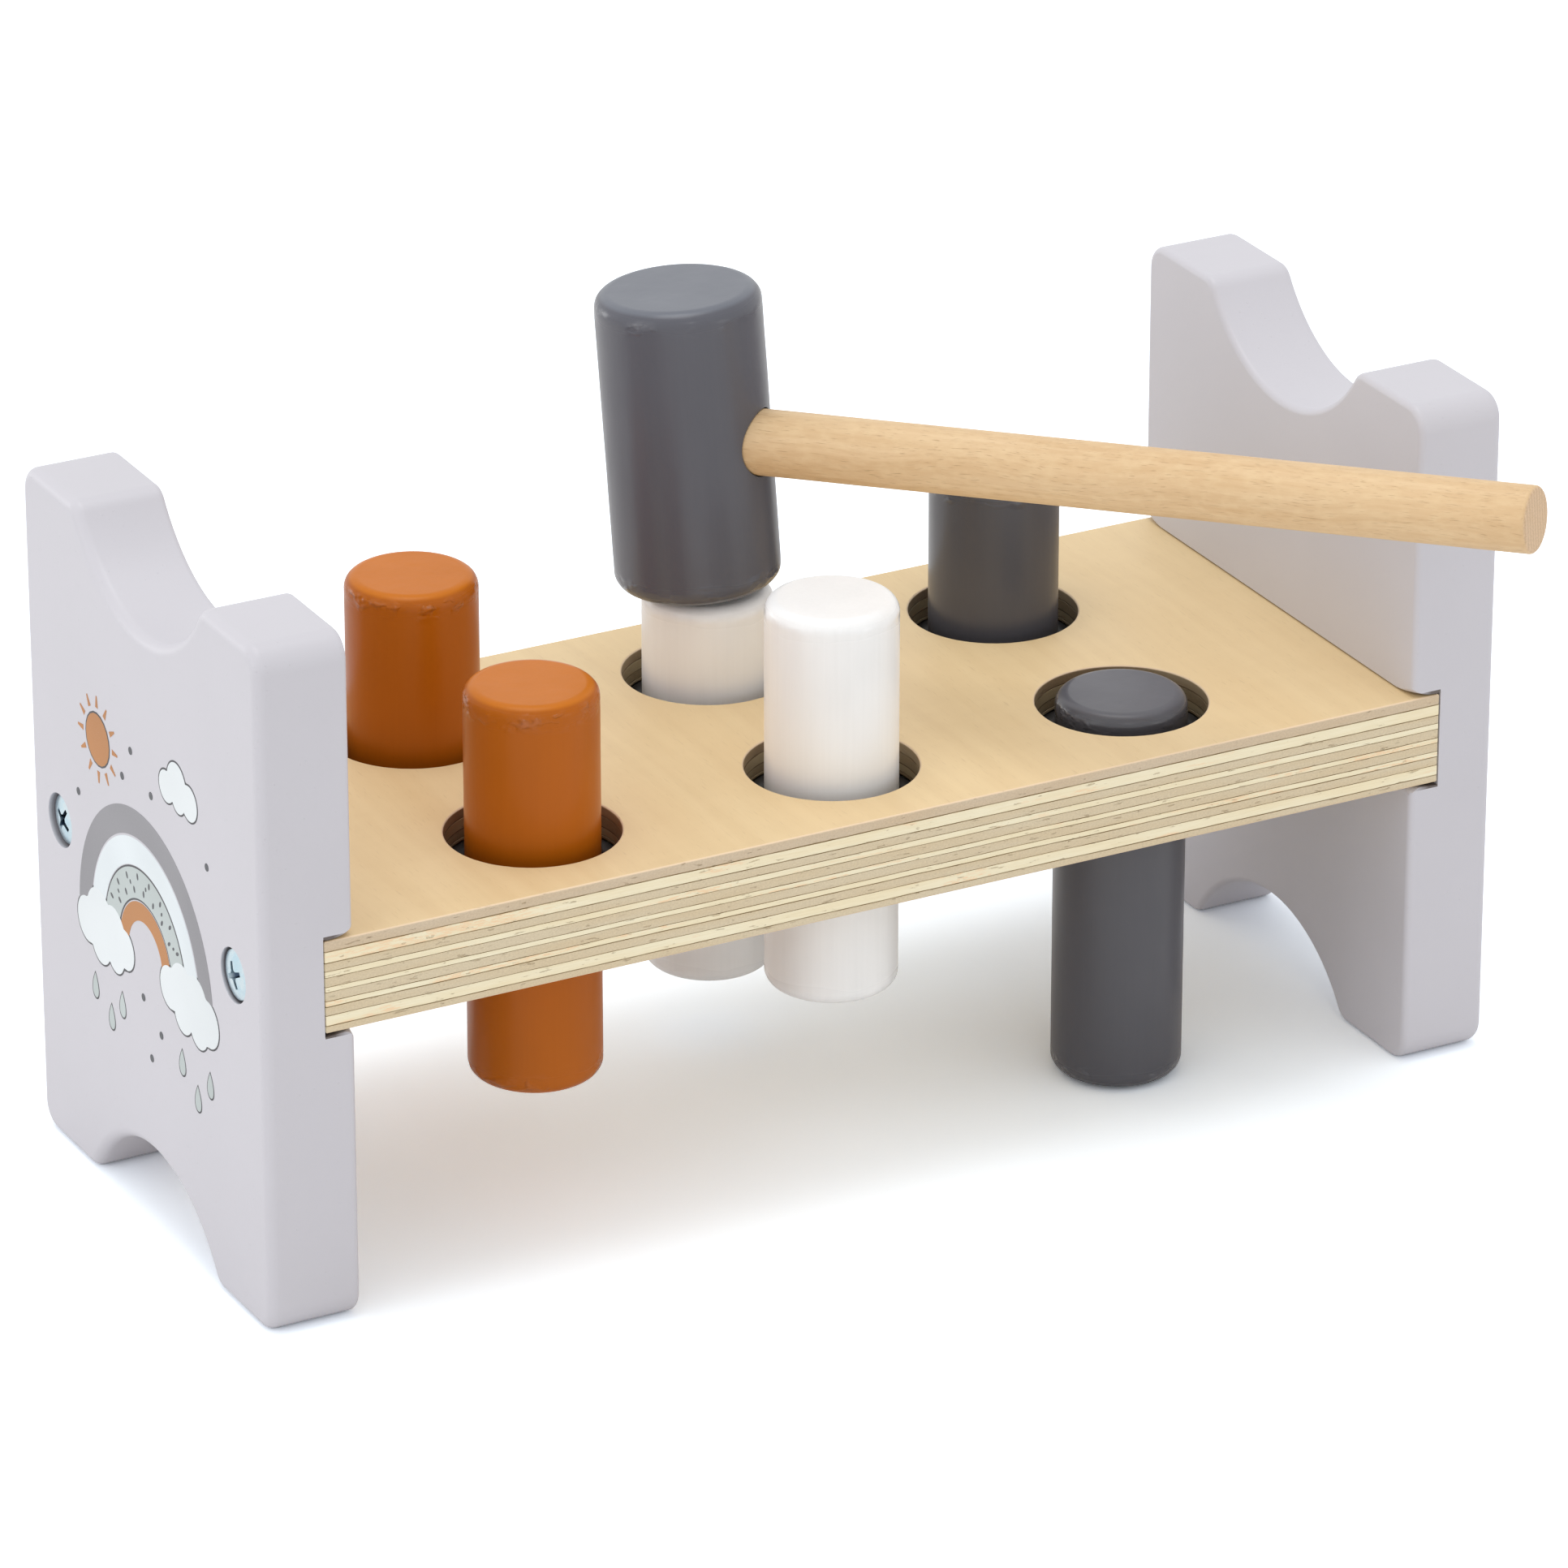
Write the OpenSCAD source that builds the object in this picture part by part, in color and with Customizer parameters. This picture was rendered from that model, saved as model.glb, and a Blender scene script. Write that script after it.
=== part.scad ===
// Peg pounding bench: two end panels, a plywood peg board, six pegs in rubber grip rings, and a hammer.
// Millimetres. X runs along the bench, Y from front to back, Z up. The origin is on the table, under
// the middle of the bench.

/* [Bench] */
// Length over the outer faces of both end panels
bench_len = 255; // [235:1:300]
// Depth from front to back, of the panels and of the board
bench_depth = 100; // [94:1:130]
// Height of the end panels
panel_h = 133.5; // [122:0.5:160]
// Thickness of the end panels
panel_t = 18; // [15:0.5:24]

/* [End panel outline] */
// Radius of the four outer corners of a panel, seen from its side
corner_r = 5; // [3:0.5:9]
// Radius of the round-over along the edges of both faces
edge_r = 1.8; // [0.8:0.1:2.5]
// Radius of the scoop in the top edge and in the bottom edge
scoop_r = 31; // [29:0.5:38]
// Depth of each scoop
scoop_depth = 15.3; // [10:0.1:18]
// Radius where a scoop runs out into a foot or a shoulder
foot_r = 4; // [3:0.5:7]

/* [Peg board] */
// Thickness of the peg board
board_t = 18; // [15:0.5:22]
// Chamfer that breaks the long edges of the board
board_edge = 0.5; // [0.3:0.1:1]
// Depth to which each end of the board is housed in its panel
housing_depth = 5.8; // [4:0.1:8]
// Clearance above, below and behind the housed end of the board
housing_gap = 0.15; // [0.1:0.05:0.3]
// Distance from the face of an end panel to the rim of the nearest hole
end_land = 31.9; // [27:0.1:38]
// Distance between the two rows of holes
row_pitch = 49; // [46:0.5:54]
// Small chamfer that breaks the rim of each hole
rim_chamfer = 0.4; // [0.2:0.1:0.8]

/* [Pegs] */
// Diameter of the pegs
peg_d = 25; // [23:0.5:26]
// Gap between a peg and the wall of its hole
peg_room = 3.7; // [3:0.1:4.5]
// Gap between the table and the lower end of a peg that is driven down
peg_table_gap = 0.65; // [0.3:0.05:6]
// Radius of the rounded ends of the pegs
peg_round = 2.6; // [1.5:0.1:4]
// Height of a peg above the board when it is driven down
peg_driven = 1.9; // [1:0.1:4]

/* [Height of each peg above the board] */
// Rust peg at the front
rust_front_up = 29; // [5:0.5:45]
// Rust peg at the back
rust_back_up = 32; // [5:0.5:45]
// White peg at the front
white_front_up = 33.3; // [5:0.5:45]
// White peg at the back, under the hammer
white_back_up = 17.2; // [5:0.5:30]
// Grey peg at the back
grey_back_up = 30; // [5:0.5:45]

/* [Grip rings] */
// Depth of the groove that holds a ring in the wall of its hole
groove_depth = 1.43; // [1.2:0.01:2]
// Running clearance between a ring and its peg
ring_play = 0.08; // [0.04:0.01:0.1]
// Clearance of a ring in its groove
ring_seat_gap = 0.05; // [0.02:0.01:0.1]

/* [Screws] */
// Distance from the front or back edge of a panel to its screw
screw_inset = 12.5; // [10:0.5:16]
// Diameter of the screw heads
screw_head_d = 9.6; // [8.6:0.1:10]
// Height of the domed top of a screw head
screw_dome_h = 0.7; // [0.4:0.1:1]
// Height of the straight rim of a screw head
screw_rim_h = 0.5; // [0.3:0.1:0.8]
// Diameter of the screw shanks
screw_shank_d = 4.2; // [3.5:0.1:4.8]
// Length of the screws, from the rim of the head to the tip
screw_len = 40; // [30:1:50]
// Gap round a screw head in its recess
recess_room = 0.7; // [0.4:0.1:1.2]
// Depth from the panel's face to the rim of the screw head
recess_depth = 0.8; // [0.6:0.1:1.4]
// Clearance round a screw in its holes
screw_gap = 0.1; // [0.05:0.05:0.2]
// Span of the cross recess in a screw head
cross_span = 5; // [4:0.1:5.6]
// Width of the wings of the cross recess
cross_w = 0.9; // [0.7:0.1:1.2]
// Depth of the cross recess, from the top of the dome
cross_depth = 2; // [1.5:0.1:2.4]

/* [Hammer] */
// Diameter of the hammer head
head_d = 31.5; // [28:0.5:34]
// Length of the hammer head
head_len = 58; // [48:1:66]
// Radius of the rounded ends of the hammer head
head_round = 3; // [2:0.1:4]
// Diameter of the handle
handle_d = 12.5; // [10:0.5:13]
// Length of the handle, with its glued end
handle_len = 172.5; // [140:0.5:200]
// Depth to which the handle is glued into the head
handle_seat = 20; // [12:0.5:24]
// Radius of the rounded edge at the free end of the handle
handle_round = 0.8; // [0.4:0.1:2]
// Glue line round the handle in the head
glue_gap = 0.1; // [0.05:0.01:0.15]
// Direction of the handle, turned from the length of the bench
hammer_turn = -53; // [-56:1:-50]
// Rise of the handle above level
hammer_lean = 4.2; // [0:0.1:5]
// Distance that the head sits behind the middle of its peg, along the handle
hammer_back = 1.8; // [0:0.1:3]
// Gap between the hammer and the peg that it stands on
hammer_gap = 0.25; // [0.2:0.05:0.4]

/* [Hidden] */

$fn = 96;
cut = 1; // overrun of every cut past the surface that it opens
panel_colour = [0.85, 0.84, 0.87];
board_colour = [0.89, 0.79, 0.61];
rust_colour = [0.72, 0.41, 0.16];
white_colour = [0.96, 0.96, 0.96];
grey_colour = [0.36, 0.37, 0.40];
rubber_colour = [0.13, 0.13, 0.14];
zinc_colour = [0.76, 0.82, 0.86];
dowel_colour = [0.88, 0.74, 0.55];

// The board lies half way up the panels, so the bench stands the same either way up
board_mid = panel_h / 2;
board_top = board_mid + board_t / 2;
board_len = bench_len - 2 * (panel_t - housing_depth);
housing_h = board_t + 2 * housing_gap;
hole_d = peg_d + 2 * peg_room;
hole_pitch = bench_len / 2 - panel_t - end_land - hole_d / 2;
front_y = -row_pitch / 2;
back_y = row_pitch / 2;
screw_y = bench_depth / 2 - screw_inset;

// A peg that is driven down ends just above the table
peg_len = board_top + peg_driven - peg_table_gap;

// A groove half way down each hole carries the ring, whose cord bridges the gap from peg to groove
groove_r = hole_d / 2 + groove_depth;
ring_cord_d = peg_room + groove_depth - ring_play - ring_seat_gap;
ring_mid_r = peg_d / 2 + ring_play + ring_cord_d / 2;
groove_w = ring_cord_d + 2 * ring_seat_gap;

// The hammer's flat face leans, so it meets the rounded rim of the peg on the side away from the handle
hammer_peg_top = board_top + white_back_up;
hammer_base_z = hammer_peg_top - peg_round
    + (peg_d / 2 - peg_round - hammer_back) * tan(hammer_lean)
    + (peg_round + hammer_gap) / cos(hammer_lean);
handle_start = head_d / 2 - handle_seat;

// Steps in the curves of the panels, which are built from computed points
edge_steps = 3;
corner_steps = 6;
foot_steps = 5;
scoop_steps = 22;

// A point on a circle
function on_circle(centre, r, a) = centre + r * [cos(a), sin(a)];

// Points of an arc, both ends included
function arc(centre, r, a0, a1, steps) =
    [for (i = [0:steps]) on_circle(centre, r, a0 + (a1 - a0) * i / steps)];

// Centre of the arc at the end of a scoop: it touches the scoop's circle and the level edge
function foot_centre() =
    let (rise = scoop_r - scoop_depth + foot_r)
    [sqrt(pow(scoop_r + foot_r, 2) - pow(rise, 2)), panel_h / 2 - foot_r];

// Upper half of the panel's outline as [y, z] from the panel's middle, drawn in by inset
function outline_half(inset) =
    let (corner = [bench_depth / 2 - corner_r, panel_h / 2 - corner_r])
    let (foot = foot_centre())
    let (scoop = [0, panel_h / 2 - scoop_depth + scoop_r])
    let (a = atan2(scoop[1] - foot[1], foot[0]))
    concat(
        arc(corner, corner_r - inset, 0, 90, corner_steps),
        arc(foot, foot_r - inset, 90, 180 - a, foot_steps),
        arc(scoop, scoop_r + inset, -a, a - 180, scoop_steps),
        arc([-foot[0], foot[1]], foot_r - inset, a, 90, foot_steps),
        arc([-corner[0], corner[1]], corner_r - inset, 90, 180, corner_steps)
    );

// The whole outline: the lower half is the upper half turned round
function outline(inset) =
    let (half = outline_half(inset))
    concat(half, [for (p = half) -p]);

// Places and insets of the sections through the panel's thickness
function sections() = concat(
    [for (i = [edge_steps:-1:0]) edge_section(90 * i / edge_steps)],
    [for (i = [0:edge_steps]) far_section(edge_section(90 * i / edge_steps))]
);
function edge_section(a) = [edge_r * (1 - sin(a)), edge_r * (1 - cos(a))];
function far_section(s) = [panel_t - s[0], s[1]];

// A blank for an end panel, its outer face at x = 0 and its middle at the origin
module panel_blank() {
    places = sections();
    rings = [for (s = places) outline(s[1])];
    count = len(rings[0]);
    last = len(places) - 1;
    points = [for (k = [0:last]) for (p = rings[k]) [places[k][0], p[0], p[1]]];
    sides = [
        for (k = [0:last - 1]) for (i = [0:count - 1])
            let (j = (i + 1) % count)
            let (a = k * count + i, b = k * count + j)
            each [[a, b + count, b], [a, a + count, b + count]]
    ];
    near_cap = [for (i = [0:count - 1]) i];
    far_cap = [for (i = [count - 1:-1:0]) last * count + i];
    polyhedron(points, concat(sides, [near_cap, far_cap]), convexity = 6);
}

// Screw hole through a panel: recess for the head, seat for its cone, and clearance for the shank
module panel_screw_hole() {
    head_r = screw_head_d / 2 + screw_gap;
    shank_r = screw_shank_d / 2 + screw_gap;
    seat = recess_depth + screw_rim_h + screw_gap;
    rotate([0, 90, 0]) {
        translate([0, 0, -cut])
            cylinder(h = recess_depth + cut, d = screw_head_d + 2 * recess_room);
        translate([0, 0, recess_depth - screw_gap]) cylinder(h = screw_rim_h + 2 * screw_gap, r = head_r);
        translate([0, 0, seat]) cylinder(h = head_r - shank_r, r1 = head_r, r2 = shank_r);
        translate([0, 0, recess_depth]) cylinder(h = panel_t, r = shank_r);
    }
}

// The left panel, with the housing that the board slides into, open at front and back
module end_panel() {
    translate([-bench_len / 2, 0, board_mid]) difference() {
        panel_blank();
        translate([panel_t - housing_depth - housing_gap, -bench_depth / 2 - cut, -housing_h / 2])
            cube([housing_depth + housing_gap + cut, bench_depth + 2 * cut, housing_h]);
        for (y = [-screw_y, screw_y]) translate([0, y, 0]) panel_screw_hole();
    }
}

// A peg hole: the bore, the groove for its ring and the broken rims
module peg_hole() {
    translate([0, 0, -cut]) cylinder(h = board_t + 2 * cut, d = hole_d);
    translate([0, 0, (board_t - groove_w) / 2]) cylinder(h = groove_w, r = groove_r);
    translate([0, 0, board_t - rim_chamfer])
        cylinder(h = 2 * rim_chamfer, r1 = hole_d / 2, r2 = hole_d / 2 + 2 * rim_chamfer);
    translate([0, 0, -rim_chamfer])
        cylinder(h = 2 * rim_chamfer, r1 = hole_d / 2 + 2 * rim_chamfer, r2 = hole_d / 2);
}

// Section of the board as [y, z] from its middle, its corners cut by the chamfers
function board_section() =
    let (y = bench_depth / 2, z = board_t / 2, e = board_edge)
    [
        [y - e, -z], [y, e - z], [y, z - e], [y - e, z],
        [e - y, z], [-y, z - e], [-y, e - z], [e - y, -z]
    ];

// The plywood board, its screw pilots in both ends
module board() {
    pilot_r = screw_shank_d / 2 + screw_gap;
    pilot_depth = screw_len + recess_depth - panel_t + housing_depth + screw_gap;
    difference() {
        translate([-board_len / 2, 0, board_mid]) rotate([90, 0, 90])
            linear_extrude(height = board_len) polygon(board_section());
        for (x = [-hole_pitch, 0, hole_pitch]) for (y = [front_y, back_y])
            translate([x, y, board_mid - board_t / 2]) peg_hole();
        for (side = [0, 180]) for (y = [-screw_y, screw_y])
            rotate([0, 0, side]) translate([-board_len / 2 - cut, y, board_mid]) rotate([0, 90, 0])
                cylinder(h = pilot_depth + cut, r = pilot_r);
    }
}

// A turned round with its end at the origin, rounded at the far end and, if asked, at the near one
module turned_round(length, d, end_r, near_end_r) {
    r = d / 2;
    rotate_extrude() {
        square([r - end_r, length]);
        translate([0, near_end_r]) square([r, length - near_end_r - end_r]);
        square([r - near_end_r, length - end_r]);
        translate([r - end_r, length - end_r]) circle(r = end_r);
        if (near_end_r > 0) translate([r - near_end_r, near_end_r]) circle(r = near_end_r);
    }
}

// A peg in the hole at x, y, with its top at a height above the board
module peg(x, y, up) {
    translate([x, y, board_top + up - peg_len]) turned_round(peg_len, peg_d, peg_round, peg_round);
}

// A grip ring in the groove of the hole at x, y
module grip_ring(x, y) {
    translate([x, y, board_mid]) rotate_extrude() translate([ring_mid_r, 0]) circle(d = ring_cord_d);
}

// A raised countersunk wood screw, its rim at the origin and its shank along Z
module wood_screw() {
    head_r = screw_head_d / 2;
    shank_r = screw_shank_d / 2;
    dome_r = (pow(head_r, 2) + pow(screw_dome_h, 2)) / (2 * screw_dome_h);
    difference() {
        union() {
            intersection() {
                translate([0, 0, dome_r - screw_dome_h]) sphere(r = dome_r);
                translate([0, 0, -screw_dome_h]) cylinder(h = screw_dome_h, r = head_r);
            }
            cylinder(h = screw_rim_h, r = head_r);
            translate([0, 0, screw_rim_h]) cylinder(h = head_r - shank_r, r1 = head_r, r2 = shank_r);
            cylinder(h = screw_len - shank_r, r = shank_r);
            translate([0, 0, screw_len - shank_r]) cylinder(h = shank_r, r1 = shank_r, r2 = 0);
        }
        cross_recess();
    }
}

// The cross in the screw head: two crossed slots inside a tapering cone
module cross_recess() {
    intersection() {
        translate([0, 0, -screw_dome_h - cut])
            cylinder(h = cross_depth + cut, r1 = cross_span / 2 + cut, r2 = cross_w);
        for (turn = [45, 135]) rotate([0, 0, turn])
            translate([-cross_span / 2, -cross_w / 2, -screw_dome_h - cut])
                cube([cross_span, cross_w, cross_depth + cut]);
    }
}

// A screw of the left panel, or of the right one when side is 180
module bench_screw(side, y) {
    rotate([0, 0, side]) translate([-bench_len / 2 + recess_depth, y, board_mid])
        rotate([0, 90, 0]) wood_screw();
}

// Puts its children on the peg under the hammer, leant and turned as the hammer stands
module hammer_pose() {
    translate([-hammer_back * cos(hammer_turn), back_y - hammer_back * sin(hammer_turn), hammer_base_z])
        rotate([0, -hammer_lean, hammer_turn]) children();
}

module left_end_panel() {
    color(panel_colour) end_panel();
}
module right_end_panel() {
    color(panel_colour) rotate([0, 0, 180]) end_panel();
}
module peg_board() {
    color(board_colour) board();
}
module rust_peg_front() {
    color(rust_colour) peg(-hole_pitch, front_y, rust_front_up);
}
module rust_peg_back() {
    color(rust_colour) peg(-hole_pitch, back_y, rust_back_up);
}
module white_peg_front() {
    color(white_colour) peg(0, front_y, white_front_up);
}
module white_peg_back() {
    color(white_colour) peg(0, back_y, white_back_up);
}
module grey_peg_front() {
    color(grey_colour) peg(hole_pitch, front_y, peg_driven);
}
module grey_peg_back() {
    color(grey_colour) peg(hole_pitch, back_y, grey_back_up);
}
module ring_left_front() {
    color(rubber_colour) grip_ring(-hole_pitch, front_y);
}
module ring_left_back() {
    color(rubber_colour) grip_ring(-hole_pitch, back_y);
}
module ring_middle_front() {
    color(rubber_colour) grip_ring(0, front_y);
}
module ring_middle_back() {
    color(rubber_colour) grip_ring(0, back_y);
}
module ring_right_front() {
    color(rubber_colour) grip_ring(hole_pitch, front_y);
}
module ring_right_back() {
    color(rubber_colour) grip_ring(hole_pitch, back_y);
}
module screw_left_front() {
    color(zinc_colour) bench_screw(0, -screw_y);
}
module screw_left_back() {
    color(zinc_colour) bench_screw(0, screw_y);
}
module screw_right_front() {
    color(zinc_colour) bench_screw(180, screw_y);
}
module screw_right_back() {
    color(zinc_colour) bench_screw(180, -screw_y);
}

// The head has a blind bore half way along for the handle
module hammer_head() {
    color(grey_colour) hammer_pose() difference() {
        turned_round(head_len, head_d, head_round, head_round);
        translate([handle_start - glue_gap, 0, head_len / 2]) rotate([0, 90, 0])
            cylinder(h = handle_seat + glue_gap + cut, d = handle_d + 2 * glue_gap);
    }
}
module hammer_handle() {
    color(dowel_colour) hammer_pose() translate([handle_start, 0, head_len / 2]) rotate([0, 90, 0])
        turned_round(handle_len, handle_d, handle_round, 0);
}

left_end_panel();
right_end_panel();
peg_board();
rust_peg_front();
rust_peg_back();
white_peg_front();
white_peg_back();
grey_peg_front();
grey_peg_back();
ring_left_front();
ring_left_back();
ring_middle_front();
ring_middle_back();
ring_right_front();
ring_right_back();
screw_left_front();
screw_left_back();
screw_right_front();
screw_right_back();
hammer_head();
hammer_handle();
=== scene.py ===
import math

import bmesh
import bpy
from mathutils import Matrix, Vector, noise


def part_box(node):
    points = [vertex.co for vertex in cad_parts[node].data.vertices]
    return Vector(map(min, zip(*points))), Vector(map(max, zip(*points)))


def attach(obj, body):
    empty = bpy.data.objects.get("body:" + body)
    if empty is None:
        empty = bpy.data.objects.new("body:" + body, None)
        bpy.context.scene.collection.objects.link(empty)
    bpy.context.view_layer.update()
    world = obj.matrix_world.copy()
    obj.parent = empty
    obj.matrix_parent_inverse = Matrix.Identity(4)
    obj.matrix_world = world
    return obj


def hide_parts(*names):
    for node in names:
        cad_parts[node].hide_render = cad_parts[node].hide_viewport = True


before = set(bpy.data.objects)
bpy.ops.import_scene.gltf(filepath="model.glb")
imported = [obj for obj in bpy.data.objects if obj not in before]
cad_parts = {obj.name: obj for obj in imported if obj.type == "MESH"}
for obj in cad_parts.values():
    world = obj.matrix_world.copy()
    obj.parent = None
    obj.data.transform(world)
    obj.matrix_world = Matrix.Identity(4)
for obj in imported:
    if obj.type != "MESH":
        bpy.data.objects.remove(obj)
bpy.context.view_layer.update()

MM = 0.001

# The studio
# The bench stands on a white table in a white room, which gives nearly all the light. A wide lamp hangs over
# it, weak ones stand low around it, and a small one in front puts glints on the rims. The camera looks down
# from the front left.
camera_place = (-0.74117, -1.39511, 0.77559)
camera_turn = math.radians(28.0814)
camera_dip = math.radians(24.3113)
camera_lens_mm = 213.559
camera = bpy.data.objects.new("camera", bpy.data.cameras.new("camera"))
camera.data.sensor_width = 36
camera.data.lens = camera_lens_mm
camera.data.clip_end = 20
camera.location = camera_place
camera.rotation_euler = (math.pi / 2 - camera_dip, 0, -camera_turn)
bpy.context.collection.objects.link(camera)
bpy.context.scene.camera = camera
bpy.context.scene.view_settings.view_transform = "Standard"
bench_heart = Vector((0, 0, 0.07))


def hang_lamp(name, place, width, height, power):
    """Hangs a soft lamp that points at the heart of the bench."""
    light = bpy.data.lights.new(name, "AREA")
    light.shape = "RECTANGLE"
    light.size = width
    light.size_y = height
    light.energy = power
    lamp = bpy.data.objects.new(name, light)
    lamp.location = place
    lamp.rotation_mode = "QUATERNION"
    lamp.rotation_quaternion = (bench_heart - Vector(place)).to_track_quat("-Z", "Y")
    lamp.visible_camera = False
    bpy.context.collection.objects.link(lamp)


hang_lamp("top_lamp", (-0.1, 0.15, 2.2), 1.1, 1.1, 11.0)
hang_lamp("left_lamp", (-1.35, -0.15, 0.85), 0.8, 0.8, 1.0)
hang_lamp("low_left_lamp", (-1.25, -0.05, 0.30), 0.5, 0.5, 1.0)
hang_lamp("low_right_lamp", (0.8, -1.3, 0.25), 0.35, 0.35, 0.45)
hang_lamp("low_back_lamp", (-0.8, 1.3, 0.25), 0.45, 0.4, 1.3)
hang_lamp("glint_lamp", (-0.35, -1.55, 1.15), 0.12, 0.12, 0.5)


def feed(node, feeds):
    """Gives inputs of a node their values, or links them to the outputs that feed them."""
    for name, value in feeds.items():
        if isinstance(value, bpy.types.NodeSocket):
            node.id_data.links.new(value, node.inputs[name])
        else:
            node.inputs[name].default_value = value


def add(tree, kind, feeds=None, **settings):
    """Adds a node with its settings, and feeds its inputs."""
    node = tree.nodes.new(kind)
    for name, value in settings.items():
        setattr(node, name, value)
    feed(node, feeds or {})
    return node


def maths(tree, operation, *values):
    """Output of a maths node that works on numbers or outputs."""
    return add(tree, "ShaderNodeMath", dict(enumerate(values)), operation=operation).outputs[0]


def mixed(tree, share, first, second, blend="MIX"):
    """Two colours mixed by a share."""
    feeds = {0: share, 6: first, 7: second}
    return add(tree, "ShaderNodeMix", feeds, data_type="RGBA", blend_type=blend).outputs[2]


def ray_kinds(tree):
    """Whether a ray comes straight from the camera, and whether by way of gloss or glass."""
    rays = add(tree, "ShaderNodeLightPath").outputs
    return rays["Is Camera Ray"], maths(tree, "MAXIMUM", rays["Is Glossy Ray"], rays["Is Transmission Ray"])


room_light = 0.825
room = bpy.data.worlds.new("white_room")
room.use_nodes = True
bpy.context.scene.world = room
tree = room.node_tree
tree.nodes.clear()
shown = maths(tree, "MAXIMUM", *ray_kinds(tree))
strength = add(tree, "ShaderNodeMix", {0: shown, 2: room_light, 3: 1.0}).outputs[0]
walls = add(tree, "ShaderNodeBackground", {"Color": (1, 1, 1, 1), "Strength": strength})
add(tree, "ShaderNodeOutputWorld", {"Surface": walls.outputs[0]})

table_reach = 3.0
table_colour = (0.86, 0.86, 0.865, 1)
table_mirrored = (1.0, 1.0, 1.0, 1)
table_seen = (1.385, 1.475, 1.56, 1)  # it looks white, with its shadows
table_mesh = bpy.data.meshes.new("table")
table_corners = ((-1, -1), (1, -1), (1, 1), (-1, 1))
table_mesh.from_pydata([(x * table_reach, y * table_reach, 0) for x, y in table_corners], [], [(0, 1, 2, 3)])
table = bpy.data.objects.new("table", table_mesh)
bpy.context.collection.objects.link(table)
finish = bpy.data.materials.new("white_table")
finish.use_nodes = True
tree = finish.node_tree
tree.nodes.clear()
from_camera, from_gloss = ray_kinds(tree)
shown = mixed(tree, from_camera, mixed(tree, from_gloss, table_colour, table_mirrored), table_seen)
matt = add(tree, "ShaderNodeBsdfDiffuse", {"Color": shown})
add(tree, "ShaderNodeOutputMaterial", {"Surface": matt.outputs[0]})
table_mesh.materials.append(finish)

# The two end panels
# Each is sawn from an 18 mm board with a round scoop in its top and bottom edges, rounded over along both
# faces, sanded, and sprayed with lilac grey lacquer. A sawn housing and two screws hold the board.
panel_low, panel_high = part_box("left_end_panel")
panel_t = panel_high.x - panel_low.x
panel_middle = (panel_low + panel_high) / 2
panel_half = (panel_high - panel_low) / 2
board_low, board_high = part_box("peg_board")
corner_r = 5 * MM
outer_edge_r = 2.1 * MM
inner_edge_r = 1.3 * MM
scoop_r = 31 * MM
scoop_depth = 15.3 * MM
foot_r = 4 * MM
print_depth = 0.1 * MM  # the outer face lies this deep in the panel, which leaves room for the print
end_gap = 0.2 * MM
mouth_play = (0.35 * MM, 0.27 * MM)  # how much wider than the board the housing is, below and above it
floor_play = (0.62 * MM, 0.5 * MM)
flare_below = (0.8, 1.2)  # how far the sanded mouth reaches in and opens, as shares of its flare
flare_above = (2.0, 1.0)
flare_from = 43  # the flare grows from here to the panel's edges, all in millimetres from its middle
flare_to = 50
saw_reach = 60
least_flare = 0.12 * MM
added_flare = 2.5 * MM
screw_y = 37.5 * MM
recess_r = 5.2 * MM
recess_floor = 1.9 * MM
recess_lip = 0.12 * MM
cone_r = 5.0 * MM
cone_end = 4.3 * MM
drill_r = 2.2 * MM
lilac_grey = (0.630, 0.617, 0.661, 1)


def arc(centre, radius, start, end, steps):
    """Points of an arc between two angles in degrees, both ends included."""
    angles = [math.radians(start + (end - start) * k / steps) for k in range(steps + 1)]
    return [(centre[0] + radius * math.cos(a), centre[1] + radius * math.sin(a)) for a in angles]


def panel_outline(inset):
    """The panel's outline as (y, z) from its middle, drawn in by inset."""
    corner = (panel_half.y - corner_r, panel_half.z - corner_r)
    rise = scoop_r - scoop_depth + foot_r
    foot = (math.sqrt((scoop_r + foot_r) ** 2 - rise ** 2), panel_half.z - foot_r)
    scoop = (0, panel_half.z - scoop_depth + scoop_r)
    slope = math.degrees(math.atan2(scoop[1] - foot[1], foot[0]))
    half = arc(corner, corner_r - inset, 0, 90, 10)
    half += arc(foot, foot_r - inset, 90, 180 - slope, 8)
    half += arc(scoop, scoop_r + inset, -slope, slope - 180, 44)[1:]
    half += arc((-foot[0], foot[1]), foot_r - inset, slope, 90, 8)[1:]
    half += arc((-corner[0], corner[1]), corner_r - inset, 90, 180, 10)
    return half + [(-y, -z) for y, z in half]


def rounding(radius, steps):
    """Steps of a rounded edge from one face to the next, as (inset, along) from the corner it takes off."""
    angles = [math.pi / 2 * k / steps for k in range(steps + 1)]
    return [(radius * (1 - math.sin(a)), radius * (1 - math.cos(a))) for a in angles]


def rounded_edge(face_x, towards, radius):
    """Outlines that round the panel over from one face to its edge."""
    rings = []
    for inset, along in rounding(radius, 8):
        rings.append([(face_x + towards * along, y, panel_middle.z + z) for y, z in panel_outline(inset)])
    return rings


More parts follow.
